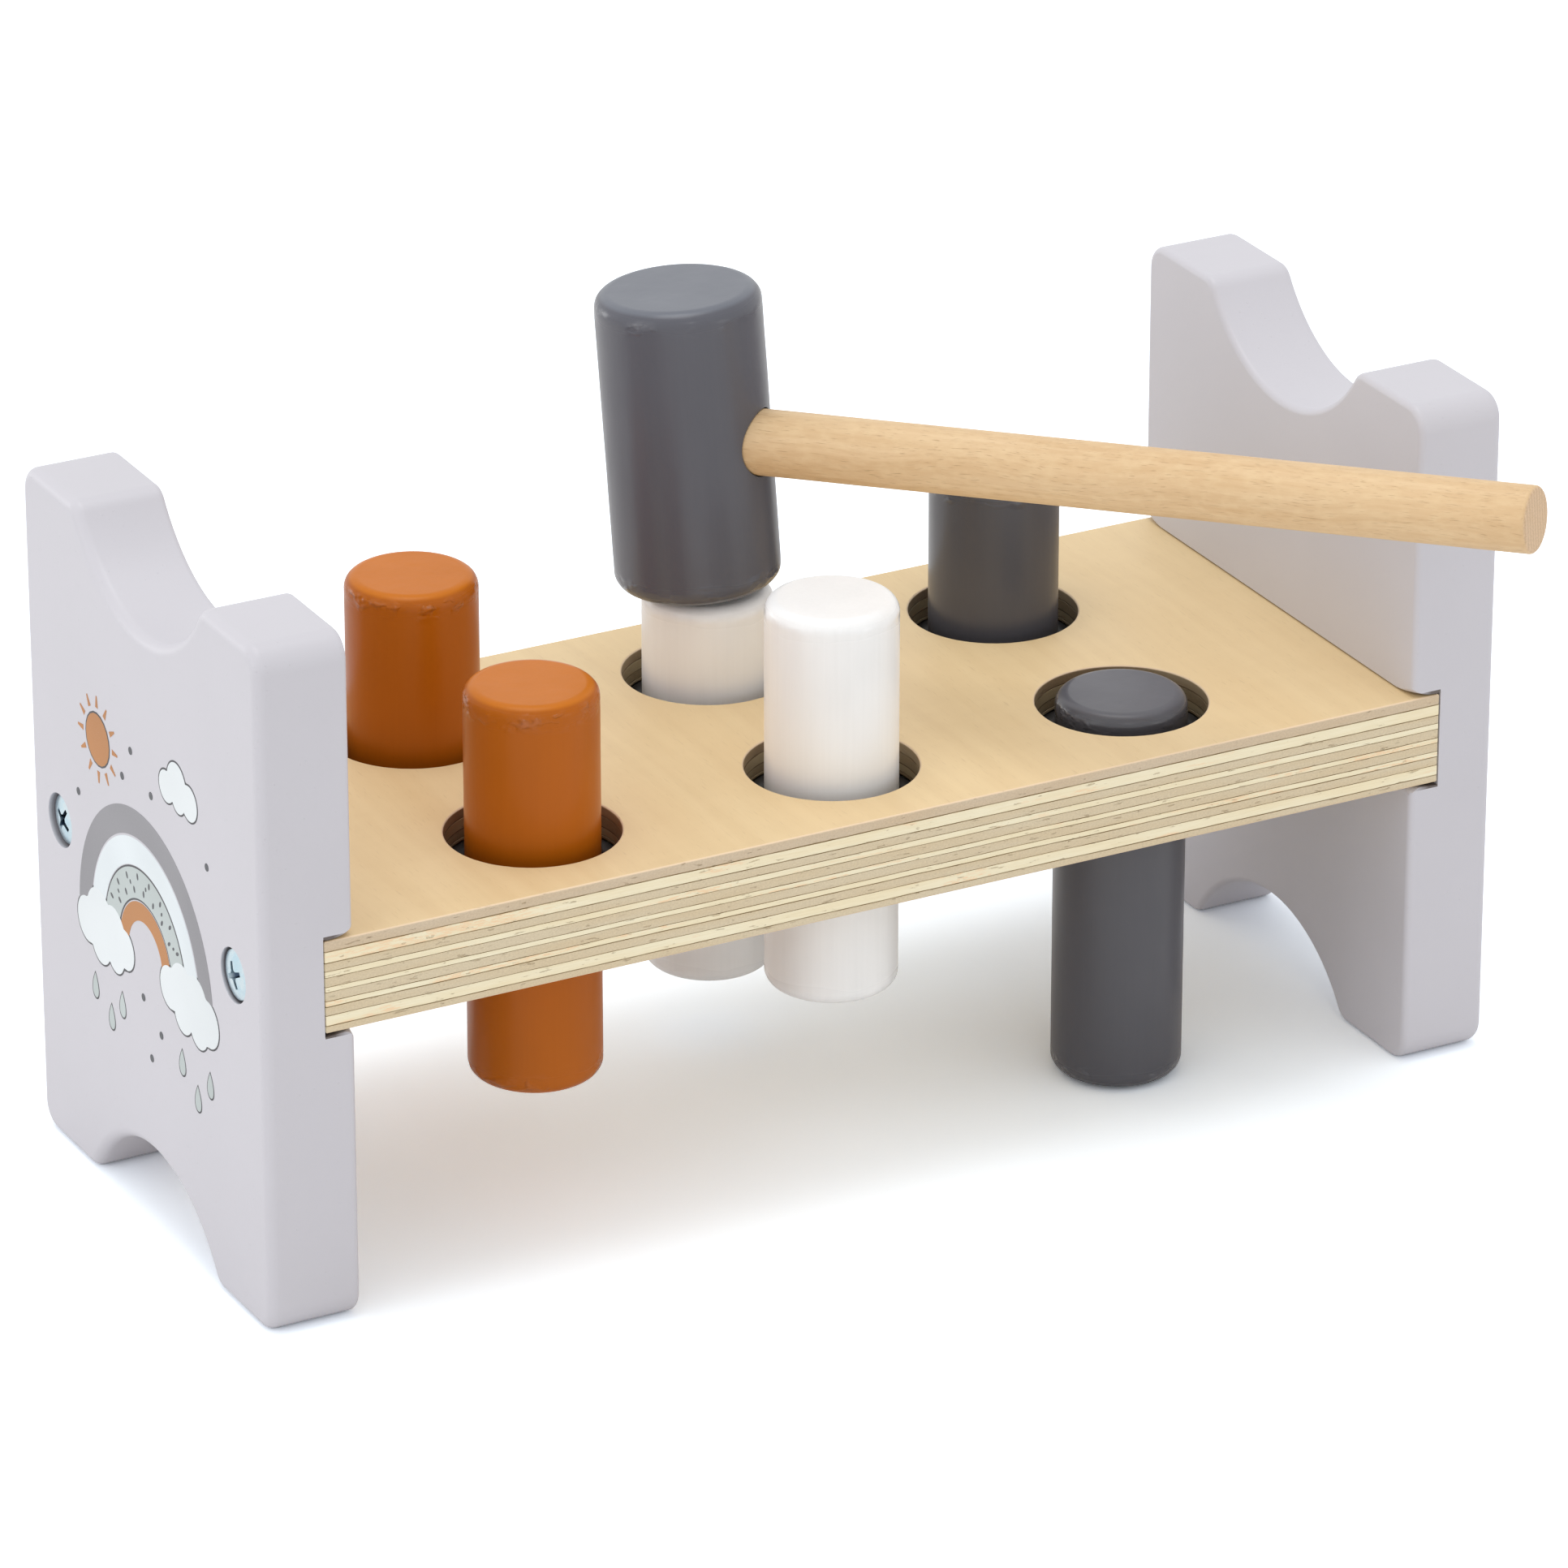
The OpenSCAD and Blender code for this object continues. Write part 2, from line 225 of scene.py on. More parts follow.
def housing_outline(side, inner_x, flare):
    """The sawn housing as (x, z), a little wider than the board, its mouth sanded round by flare."""
    deep_x = side * (board_high.x + end_gap)
    outside_x = inner_x - side * panel_t
    low = board_low.z - mouth_play[0]
    high = board_high.z + mouth_play[1]
    below = []
    above = []
    for inset, along in rounding(flare, 8):
        below.append((inner_x + side * flare_below[0] * inset, low - flare_below[1] * along))
        above.append((inner_x + side * flare_above[0] * inset, high + flare_above[1] * along))
    outline = [(deep_x, board_low.z - floor_play[0])] + below
    outline += [(outside_x, below[-1][1]), (outside_x, above[-1][1])]
    return outline + above[::-1] + [(deep_x, board_high.z + floor_play[1])]


def piece_of(name, work):
    """Makes an object of a finished mesh: smooth, with its edges over 35 degrees kept sharp."""
    bmesh.ops.recalc_face_normals(work, faces=work.faces)
    mesh = bpy.data.meshes.new(name)
    work.to_mesh(mesh)
    work.free()
    mesh.shade_smooth()
    mesh.set_sharp_from_angle(angle=math.radians(35))
    piece = bpy.data.objects.new(name, mesh)
    bpy.context.collection.objects.link(piece)
    return piece


def new_piece(name, points, faces):
    """Makes an object of points and faces."""
    mesh = bpy.data.meshes.new(name)
    mesh.from_pydata(points, [], faces)
    work = bmesh.new()
    work.from_mesh(mesh)
    bpy.data.meshes.remove(mesh)
    return piece_of(name, work)


def stack_rings(rings):
    """Points and faces of a closed form through rings of as many points each, capped at both ends."""
    count = len(rings[0])
    points = [p for ring in rings for p in ring]
    faces = []
    for k in range(len(rings) - 1):
        for i in range(count):
            j = (i + 1) % count
            faces.append((k * count + i, k * count + j, (k + 1) * count + j, (k + 1) * count + i))
    last = (len(rings) - 1) * count
    return points, faces + [tuple(range(count))[::-1], tuple(range(last, last + count))]


def turns(steps):
    """Angles of even steps once round."""
    return [math.tau * k / steps for k in range(steps)]


def turned_spot(radius, angle, height):
    """A point of a form turned round Z."""
    return Vector((radius * math.cos(angle), radius * math.sin(angle), height))


def turned_piece(name, profile, steps, place, dent=None):
    """A form turned round Z from (radius, height) pairs. dent(radius, angle, height) sinks a point."""
    rings = []
    for radius, height in profile:
        ring = []
        for a in turns(steps):
            ring.append(place @ turned_spot(radius - dent(radius, a, height) if dent else radius, a, height))
        rings.append(ring)
    return new_piece(name, *stack_rings(rings))


def housing_cut(side, inner_x):
    """The form of the housing, through outlines along the panel."""
    rings = []
    for y in [-saw_reach, *range(-flare_to, 1 - flare_from), *range(flare_from, flare_to + 1), saw_reach]:
        grown = min(1, (abs(y) - flare_from) / (flare_to - flare_from))
        outline = housing_outline(side, inner_x, least_flare + added_flare * grown ** 2)
        rings.append([(x, y * MM, z) for x, z in outline])
    return new_piece("housing_cut", *stack_rings(rings))


def screw_cut(place):
    """The form of a screw's recess, with an eased lip, and of its hole."""
    profile = [(recess_r + recess_lip, 1 * MM)]
    profile += [(recess_r + along, -print_depth - inset) for inset, along in rounding(recess_lip, 3)[::-1]]
    profile += [(recess_r, -recess_floor), (cone_r, -recess_floor - 0.05 * MM)]
    profile += [(drill_r, -cone_end), (drill_r, -2 * panel_t)]
    return turned_piece("screw_cut", profile, 72, place)


def carve(piece, *cutters):
    """Cuts the cutters' forms out of a piece and throws the cutters away."""
    for cutter in cutters:
        cut = piece.modifiers.new("cut", "BOOLEAN")
        cut.operation = "DIFFERENCE"
        cut.solver = "EXACT"
        cut.object = cutter
    graph = bpy.context.evaluated_depsgraph_get()
    carved = bpy.data.meshes.new_from_object(piece.evaluated_get(graph))
    piece.modifiers.clear()
    piece.data = carved
    for cutter in cutters:
        bpy.data.objects.remove(cutter)
    carved.shade_smooth()
    carved.set_sharp_from_angle(angle=math.radians(35))


def even_shading(piece):
    """Keeps the wide flat faces flat beside their rounded edges."""
    weighted = piece.modifiers.new("even_shading", "WEIGHTED_NORMAL")
    weighted.keep_sharp = True


def dress(piece, finish, body, node):
    """Gives a piece its finish, and puts it in the place of its node."""
    piece.data.materials.clear()
    piece.data.materials.append(finish)
    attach(piece, body)
    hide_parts(node)


def object_coords(tree):
    """Coordinates that stay with the piece when it moves."""
    return add(tree, "ShaderNodeTexCoord").outputs["Object"]


def axes(tree, vector):
    """The three parts of a vector, along X, Y and Z."""
    return add(tree, "ShaderNodeSeparateXYZ", {0: vector}).outputs


def inside(tree, half, place):
    """How far a place lies inside two faces that stand half to each side of the middle."""
    return maths(tree, "SUBTRACT", half, maths(tree, "ABSOLUTE", place))


def times(tree, first, *others):
    """The product of numbers or outputs."""
    for other in others:
        first = maths(tree, "MULTIPLY", first, other)
    return first


def mottle(tree, coords, size, detail=2.0, roughness=0.5):
    """Soft random mottling, of one size in millimetres or of one along each axis."""
    sizes = size if isinstance(size, tuple) else (size, size, size)
    scale = tuple(1 / (across * MM) for across in sizes)
    spread = add(tree, "ShaderNodeMapping", {"Vector": coords, "Scale": scale}).outputs[0]
    feeds = {"Vector": spread, "Scale": 1.0, "Detail": detail, "Roughness": roughness}
    return add(tree, "ShaderNodeTexNoise", feeds).outputs[0]


def ranged(tree, value, low, high, to_low=0, to_high=1, blend="LINEAR"):
    """Maps a value from one range to another, and holds it there."""
    feeds = {0: value, 1: low, 2: high, 3: to_low, 4: to_high}
    return add(tree, "ShaderNodeMapRange", feeds, interpolation_type=blend).outputs[0]


def shade(colour, factor):
    """A colour made lighter or darker."""
    return tuple(c * factor for c in colour[:3]) + (1,)


def bumps(tree, height, depth, below=None):
    """Normals of a surface whose height differs by up to depth."""
    feeds = {"Height": height, "Distance": depth, "Strength": 1.0}
    if below is not None:
        feeds["Normal"] = below
    return add(tree, "ShaderNodeBump", feeds).outputs[0]


def new_finish(name):
    """A new material, its tree and its shader."""
    finish = bpy.data.materials.new(name)
    finish.use_nodes = True
    return finish, finish.node_tree, finish.node_tree.nodes["Principled BSDF"]


def sprayed_lacquer(name, colour):
    """Lacquer on a sanded panel: clouds, orange peel, dust, and painted shade in the screw recesses and the
    housing.
    """
    finish, tree, shader = new_finish(name)
    coords = object_coords(tree)
    clouds = mottle(tree, coords, 45, 3)
    peel = mottle(tree, coords, 0.9, 1)
    waves = mottle(tree, coords, 9, 1)
    dust = ranged(tree, mottle(tree, coords, 0.55, 0), 0.80, 0.86)
    tone = mixed(tree, ranged(tree, clouds, 0.3, 0.7), shade(colour, 0.975), shade(colour, 1.02))
    tone = mixed(tree, times(tree, dust, 0.1), tone, shade(colour, 0.8))
    relief = maths(tree, "ADD", times(tree, waves, 3.0), peel)
    place = axes(tree, coords)
    depth = inside(tree, -panel_low.x, place[0])
    # Painted shade: the screw recesses darken towards their floors, the front ones more than the back ones.
    aside = maths(tree, "SUBTRACT", maths(tree, "ABSOLUTE", place[1]), screw_y)
    above = maths(tree, "SUBTRACT", place[2], panel_middle.z)
    squares = maths(tree, "ADD", maths(tree, "POWER", aside, 2), maths(tree, "POWER", above, 2))
    drilled = maths(tree, "LESS_THAN", squares, (recess_r + 0.1 * MM) ** 2)
    shade_by_side = ranged(tree, place[1], -1 * MM, 1 * MM, 0.85, 0.6375)
    depth_shade = times(tree, drilled, shade_by_side, ranged(tree, depth, 0.2 * MM, 0.9 * MM))
    # Painted shade: inside the housing round the board the lacquer darkens to near black towards the deep
    # end.
    housed = maths(tree, "GREATER_THAN", depth, -panel_low.x - board_high.x - end_gap + 0.05 * MM)
    level_half = board_high.z - panel_middle.z + 0.95 * MM
    level = maths(tree, "LESS_THAN", maths(tree, "ABSOLUTE", above), level_half)
    sawn = times(tree, housed, level, ranged(tree, depth, panel_t - 4 * MM, panel_t - 0.3 * MM, 0.9, 0))
    tone = mixed(tree, sawn, tone, (0.07, 0.045, 0.032, 1))
    feed(shader, {"Base Color": mixed(tree, depth_shade, tone, (0.10, 0.095, 0.11, 1)),
                  "Roughness": ranged(tree, clouds, 0.3, 0.7, 0.40, 0.47),
                  "Normal": bumps(tree, relief, 0.012 * MM, bumps(tree, dust, 0.03 * MM))})
    return finish


panel_lacquer = sprayed_lacquer("lilac_grey_lacquer", lilac_grey)
for side, node in ((-1, "left_end_panel"), (1, "right_end_panel")):
    outer_x = side * -panel_low.x
    face_x = outer_x - side * print_depth
    inner_x = outer_x - side * panel_t
    rings = rounded_edge(face_x, -side, outer_edge_r) + rounded_edge(inner_x, side, inner_edge_r)[::-1]
    panel = new_piece(node.replace("_end", ""), *stack_rings(rings))
    cutters = [housing_cut(side, inner_x)]
    for y in (-screw_y, screw_y):
        place = Matrix.Translation((outer_x, y, panel_middle.z))
        cutters.append(screw_cut(place @ Matrix.Rotation(side * math.pi / 2, 4, "Y")))
    carve(panel, *cutters)
    even_shading(panel)
    dress(panel, panel_lacquer, "bench", node)

# The print on the left panel
# A small nursery picture is printed on the outer face: a rainbow on two clouds, with a sun, drops and dots.
# Each ink is a film a few hundredths of a millimetre thick, laid over a thin dark outline. Its sizes and
# places are in millimetres, the places from the panel's middle.
print_face_x = panel_low.x + print_depth
line_width = 0.35
rainbow = (-0.5, -13.0)
bands = {"grey": (29.0, 23.6), "pale": (23.2, 17.9), "green": (17.4, 11.6), "rust": (11.0, 7.4)}
left_lobes = ((-7.2, -0.2, 4.5), (-1.8, 2.4, 5.6), (4.4, 2.0, 5.0),
              (9.2, 0.4, 4.0), (5.0, -2.4, 3.6), (-1.5, -2.6, 4.2))
right_lobes = ((-8.6, 0.6, 4.2), (-3.2, 2.2, 5.2), (2.6, 2.6, 4.8),
               (7.6, 0.2, 4.6), (3.6, -2.6, 3.8), (-3.0, -2.4, 3.8))
small_lobes = ((-5.0, -0.8, 3.1), (-0.6, 1.4, 4.0), (4.6, -0.4, 3.4), (0, -1.4, 2.8))
clouds = (((-18.8, -15.0), left_lobes), ((18.6, -14.6), right_lobes), ((16.0, 27.0), small_lobes))
sun = (-19.0, 23.5)
sun_r = 5.0
drops = ((-23.5, -27.5), (-16.5, -31.0), (-11.5, -26.5), (14.5, -27.0), (21.0, -31.5), (26.5, -26.5))
drop_size = 2.5
dots = ((-4.5, 27.0), (4.0, 21.5), (-8.5, 20.5), (27.5, 17.0),
        (-28.5, 9.5), (-2.0, -21.0), (5.5, -25.5), (1.0, -32.0))
dot_r = 0.75


def cloud(centre, lobes, grow):
    """Outline of a cloud made of round lobes, each (right, up, radius) from its centre."""
    outline = []
    for a in turns(96):
        reach = 0
        for right, up, radius in lobes:
            along = right * math.cos(a) + up * math.sin(a)
            square = (radius + grow) ** 2 - (right ** 2 + up ** 2 - along ** 2)
            if square > 0:
                reach = max(reach, along + math.sqrt(square))
        outline.append((centre[0] + reach * math.cos(a), centre[1] + reach * math.sin(a)))
    return outline


def band(colour, grow):
    """Outline of one band of the rainbow."""
    outer, inner = bands[colour]
    return arc(rainbow, outer + grow, 0, 180, 60) + arc(rainbow, inner - grow, 180, 0, 60)


def disc(centre, radius, tall=1.0, lean=0.0):
    """Outline of a dot, or of a dash when it is taller than wide."""
    outline = []
    for right, up in arc((0, 0), radius, 0, 360, 20)[:-1]:
        up *= tall
        turn = math.radians(lean)
        outline.append((centre[0] + right * math.cos(turn) - up * math.sin(turn),
                        centre[1] + right * math.sin(turn) + up * math.cos(turn)))
    return outline


def dash(radius, turn, half_width, tall, lean=0.0):
    """Outline of a dash that points outwards on the green band."""
    return disc(arc(rainbow, radius, turn, turn, 1)[0], half_width, tall, turn - 90 + lean)


def drop(centre, grow):
    """Outline of a falling drop, pointed at its top."""
    outline = []
    for a in turns(32):
        outline.append((centre[0] + (drop_size * 0.66 + grow) * math.sin(a) * math.sin(a / 2),
                        centre[1] + (drop_size + grow) * math.cos(a)))
    return outline


def sun_rays(start, end, count):
    """Short rays round the sun."""
    rays = []
    for a in turns(count):
        along = Vector((math.cos(a), math.sin(a)))
        across = Vector((-along.y, along.x))
        ray = [along * start + across * 0.55, along * start - across * 0.55]
        ray += [along * end - across * 0.2, along * end + across * 0.2]
        rays.append([(sun[0] + p.x, sun[1] + p.y) for p in ray])
    return rays


def print_shapes(name, outlines, film, ink):
    """Lays shapes, as outlines of (right, up), on the outer face in a film of ink."""
    points = []
    faces = []
    for outline in outlines:
        rings = [[(x, -right * MM, panel_middle.z + up * MM) for right, up in outline]
                 for x in (print_face_x + 0.02 * MM, print_face_x - film * MM)]
        ring_points, ring_faces = stack_rings(rings)
        faces += [tuple(i + len(points) for i in face) for face in ring_faces]
        points += ring_points
    shapes = new_piece(name, points, faces)
    shapes.data.materials.append(ink)
    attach(shapes, "bench")


def printed_ink(name, colour):
    """Matt printing ink: faint grain, a few pinholes, and a slow change of tone."""
    finish, tree, shader = new_finish(name)
    coords = object_coords(tree)
    slow = mottle(tree, coords, 24, 1)
    fine = mottle(tree, coords, 0.3, 2)
    tone = mixed(tree, ranged(tree, slow, 0.3, 0.7), shade(colour, 0.93), shade(colour, 1.06))
    holes = ranged(tree, fine, 0.70, 0.76, 0, 0.35)
    feed(shader, {"Base Color": mixed(tree, holes, tone, lilac_grey), "Normal": bumps(tree, fine, 0.01 * MM),
                  "Roughness": ranged(tree, fine, 0.3, 0.7, 0.48, 0.6)})
    return finish


dashes = [dash(15.9 if turn % 2 else 13.2, turn, 0.36, 1.9) for turn in range(27, 156, 9)]
dashes += [dash(14.6, turn, 0.3, 1.5, 1.5) for turn in (31, 58, 86, 113, 140)]
outlined = [band("green", line_width)] + [cloud(*shape, line_width) for shape in clouds]
outlined += [drop(place, line_width) for place in drops] + [disc(sun, sun_r + line_width)]
inks = {
    "outline": ("dark_line_ink", (0.075, 0.075, 0.082, 1), 0.03, outlined),
    "grey": ("grey_ink", (0.30, 0.295, 0.315, 1), 0.045, [band("grey", 0)]),
    "pale": ("pale_ink", (0.78, 0.84, 0.87, 1), 0.045, [band("pale", 0)]),
    "green": ("grey_green_ink", (0.52, 0.575, 0.57, 1), 0.05,
              [band("green", 0)] + [drop(place, 0) for place in drops]),
    "rust": ("rust_ink", (0.50, 0.22, 0.075, 1), 0.055,
             [band("rust", 0), disc(sun, sun_r)] + sun_rays(6.3, 8.6, 12)),
    "clouds": ("white_ink", (0.80, 0.845, 0.865, 1), 0.065, [cloud(*shape, 0) for shape in clouds]),
    "dashes": ("dash_ink", (0.10, 0.105, 0.115, 1), 0.075, dashes + [disc(place, dot_r) for place in dots]),
}
for name, (ink, colour, film, shapes) in inks.items():
    print_shapes("print_" + name, shapes, film, printed_ink(ink, colour))

# The screws
# Four raised countersunk wood screws of zinc plated steel hold the board in the panels. Each has a cross
# recess in its domed head, a plain neck and a rolled thread down to its tip.
head_r = 4.72 * MM
dome_h = 0.7 * MM
head_rim = 0.5 * MM
shank_r = 2.1 * MM
core_r = 1.5 * MM
neck_len = 3.2 * MM
tip_len = 0.7 * MM
screw_len = 40 * MM
thread_pitch = 1.8 * MM
neck_z = shank_r - head_rim - head_r
thread_top = neck_z - neck_len
thread_end = shank_r - screw_len
cross_top = dome_h + 0.6 * MM
cross_floor = dome_h - 2 * MM
cross_reach = 3.2 * MM
screw_settings = {  # turn of its cross in degrees, and depth of its head in millimetres
    "screw_left_front": (24, 0.8),
    "screw_left_back": (-33, 1.25),
    "screw_right_front": (37, 0.9),
    "screw_right_back": (8, 1.1),
}


def dome(radius):
    """Height of the domed head above its rim."""
    dome_r = (head_r ** 2 + dome_h ** 2) / (2 * dome_h)
    return dome_h - dome_r + math.sqrt(dome_r ** 2 - radius ** 2)


def screw_profile():
    """(radius, height) pairs from the top of the dome to the tip, heights from the head's rim."""
    profile = [(head_r * k / 14 * 0.985, dome(head_r * k / 14 * 0.985)) for k in range(1, 15)]
    profile += [(head_r - 0.02 * MM, 0), (head_r, -0.1 * MM), (head_r, -head_rim)]
    profile += [(shank_r, neck_z), (shank_r - 0.05 * MM, neck_z - 3 * MM)]
    rows = 190
    for k in range(rows):
        profile.append((shank_r, thread_top + (thread_end - thread_top) * k / (rows - 1)))
    return profile + [(shank_r * 0.5, tip_len - screw_len), (0.15 * MM, -screw_len)]


def thread(radius, angle, height):
    """How far the groove between two turns of the thread is sunk below its crest."""
    if height > thread_top or height < thread_end or radius < shank_r:
        return 0
    turn = height / thread_pitch + angle / math.tau
    from_crest = abs(turn - math.floor(turn) - 0.5) * 2
    groove = min(1, (1 - from_crest) * 1.6)
    ease = min(1, (thread_top - height) / (4 * MM), (height - thread_end) / (3 * MM))
    return groove * (shank_r - core_r) * (0.25 + 0.75 * ease)


def cross_cut(place, turn):
    """The driver's cross: two crossed slots that taper inwards and narrow towards their ends."""
    slots = []
    top_ring = (cross_top, 3.3 * MM, 0.62 * MM, 0.5 * MM)
    floor_ring = (cross_floor, 1.1 * MM, 0.42 * MM, 0.3 * MM)
    for quarter in (0, 90):
        spin = place @ Matrix.Rotation(math.radians(turn + quarter), 4, "Z")
        rings = []
        for z, reach, wide, narrow in (top_ring, floor_ring):
            half = ((reach, narrow), (0, wide), (-reach, narrow))
            outline = half + tuple((-x, -y) for x, y in half)
            rings.append([spin @ Vector((x, y, z)) for x, y in outline])
        slots.append(new_piece("slot_cut", *stack_rings(rings)))
    spin = place @ Matrix.Rotation(math.radians(turn + 22.5), 4, "Z")
    return slots + [turned_piece("boss_cut", [(1.25 * MM, cross_top), (0.75 * MM, cross_floor)], 8, spin)]


def zinc_plate(name, shade_share):
    """Zinc plating: bluish, with faint clouds, fine rolling marks, and painted shade that darkens with
    depth.
    """
    finish, tree, shader = new_finish(name)
    coords = object_coords(tree)
    clouds = mottle(tree, coords, 2.2, 2)
    marks = mottle(tree, coords, (0.35, 0.12, 0.35), 2)
    tone = mixed(tree, ranged(tree, clouds, 0.35, 0.65), (0.50, 0.66, 0.74, 1), (0.62, 0.72, 0.76, 1))
    depth = inside(tree, -panel_low.x, axes(tree, coords)[0])
    # Painted shade: the zinc darkens towards the floor of the cross and down the flank below the head.
    depth_shade = times(tree, ranged(tree, depth, 0.4 * MM, 1.3 * MM, 0.35, 0.95), shade_share)
    tone = mixed(tree, depth_shade, tone, (0.03, 0.055, 0.10, 1))
    feed(shader, {"Base Color": tone, "Metallic": 1.0, "Normal": bumps(tree, marks, 0.012 * MM),
                  "Roughness": ranged(tree, marks, 0.3, 0.7, 0.24, 0.40)})
    return finish


zinc = zinc_plate("bright_zinc", 0)
shaded_zinc = zinc_plate("grimy_zinc", 1)
for node, (turn, deep) in screw_settings.items():
    side = -1 if "left" in node else 1
    low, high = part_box(node)
    place = Matrix.Translation((side * -panel_low.x, (low.y + high.y) / 2, (low.z + high.z) / 2))
    place = place @ Matrix.Rotation(side * math.pi / 2, 4, "Y") @ Matrix.Rotation(math.pi / 2, 4, "Z")
    place = place @ Matrix.Translation((0, 0, -deep * MM))
    screw = turned_piece(node + "_zinc", screw_profile(), 48, place, thread)
    carve(screw, *cross_cut(place, turn))
    dress(screw, zinc, "bench", node)
    screw.data.materials.append(shaded_zinc)
    # Faces of the cross and of the flank below the head take the zinc with painted shade.
    for face in screw.data.polygons:
        spot = place.inverted() @ face.center
        out = math.hypot(spot.x, spot.y)
        in_cross = out < cross_reach and -2 * MM < spot.z < dome(out) - 0.04 * MM
        flank = -2 * MM < spot.z < -0.05 * MM and out > head_r - 0.01 * MM
        face.material_index = 1 if in_cross or flank else 0

# The peg board
# An 18 mm board of eleven birch plies, sawn to size, with six bored holes and its edges broken with paper.
# The dark plies show their end grain. Each hole has a routed groove half way down that holds its grip ring.
board_middle = (board_low + board_high) / 2
board_half = (board_high - board_low) / 2
board_t = 2 * board_half.z
hole_r = 16.2 * MM
groove_depth = 1.43 * MM
groove_half = 2.55 * MM
groove_slope = 0.05 * MM
board_edge_r = 0.45 * MM
board_corner_r = 0.3 * MM
rim_edge_r = 0.4 * MM
dark_sunk = 0.03 * MM
glue_sunk = 0.05 * MM
glue_half = 0.09 * MM
fibre_size = 0.9 * MM
fibre_depth = 0.1 * MM
torn_x = -92 * MM  # here the saw tore the upper plies of the front edge most
ply_shares = (0.115, 0.120, 0.090, 0.065, 0.100, 0.055, 0.095, 0.060, 0.095, 0.110, 0.080)
glue_levels = []
level = board_half.z
for share in ply_shares[:-1]:
    level -= share / sum(ply_shares) * board_t
    glue_levels.append(level)


def sawn_rows(edge_r):
    """(height, depth) pairs down the board's edge: round edges, sunk dark plies and fine glue grooves."""
    rows = [(board_half.z - along, inset) for inset, along in rounding(edge_r, 4)]
    above = board_half.z - edge_r
    for k, level in enumerate(glue_levels):
        upper = dark_sunk if k % 2 == 0 else 0
        lower = dark_sunk - upper
        rows.append(((above + level) / 2, upper))
        rows += [(level + glue_half, upper), (level, dark_sunk + glue_sunk), (level - glue_half, lower)]
        above = level
    return rows + [(along - board_half.z, inset) for inset, along in rounding(edge_r, 4)[::-1]]


def bored_rows():
    """The same for a hole, with the groove for its ring half way down."""
    rows = sawn_rows(rim_edge_r)
    upper = [row for row in rows if row[0] > groove_half + 0.1 * MM]
    lower = [row for row in rows if row[0] < -groove_half - 0.1 * MM]
    groove = [(groove_half, 0), (groove_half - groove_slope, groove_depth), (0, groove_depth)]
    groove += [(groove_slope - groove_half, groove_depth), (-groove_half, 0)]
    return upper + groove + lower


def board_stations():
    """Points round the board, as (x, y) and the direction that the edge faces."""
    stations = []
    half_x = board_half.x - board_corner_r
    half_y = board_half.y - board_corner_r
    for corner, start, run, count in (((1, 1), 0, (-1, 0), 232), ((-1, 1), 90, (0, -1), 40),
                                      ((-1, -1), 180, (1, 0), 232), ((1, -1), 270, (0, 1), 40)):
        for k in range(5):
            a = math.radians(start + 90 * k / 4)
            facing = (math.cos(a), math.sin(a))
            x = corner[0] * half_x + board_corner_r * facing[0]
            y = corner[1] * half_y + board_corner_r * facing[1]
            stations.append((x, y, *facing))
        length = 2 * (half_x if run[0] else half_y)
        for k in range(1, count):
            stations.append((x + run[0] * length * k / count, y + run[1] * length * k / count, *facing))
    return stations


def hole_stations(centre):
    """Points round a hole, facing into it."""
    stations = []
    for a in turns(120):
        c = math.cos(a)
        s = math.sin(a)
        stations.append((centre.x + hole_r * c, centre.y + hole_r * s, -c, -s))
    return stations


def fuzz(x, y, z, depth):
    """Torn fibres: most along the rims, less down the sawn face."""
    rough = noise.noise(Vector((x, y, z * 0.6)) / fibre_size) * 0.5 + 0.5
    near_rim = min(1, depth / (0.15 * MM)) if abs(z) > board_half.z - board_edge_r else 0.15
    return rough * near_rim * fibre_depth


def wall(work, stations, rows, ragged):
    """Builds a closed wall through the stations and gives the edges of its top and of its bottom."""
    grid = []
    for z, depth in rows:
        ring = []
        for x, y, face_x, face_y in stations:
            sunk = depth + fuzz(x, y, z, depth) * ragged
            ring.append(work.verts.new((x - face_x * sunk, y - face_y * sunk, board_middle.z + z)))
        grid.append(ring)
    for upper, lower in zip(grid, grid[1:]):
        for i in range(len(stations)):
            j = (i + 1) % len(stations)
            work.faces.new((upper[i], upper[j], lower[j], lower[i]))
    ends = (grid[0], grid[-1])
    return [[work.edges.get((ring[i - 1], ring[i])) for i in range(len(ring))] for ring in ends]


def layers(tree, share, levels, values):
    """A value for each layer, from the lowest up, between levels given as shares of the thickness."""
    ramp = add(tree, "ShaderNodeValToRGB", {"Fac": share})
    ramp.color_ramp.interpolation = "CONSTANT"
    stops = ramp.color_ramp.elements
    stops[0].color = (values[0],) * 3 + (1,)
    stops[1].position = levels[0]
    stops[1].color = (values[1],) * 3 + (1,)
    for level, value in zip(levels[1:], values[2:]):
        stops.new(level).color = (value,) * 3 + (1,)
    return ramp.outputs[0]


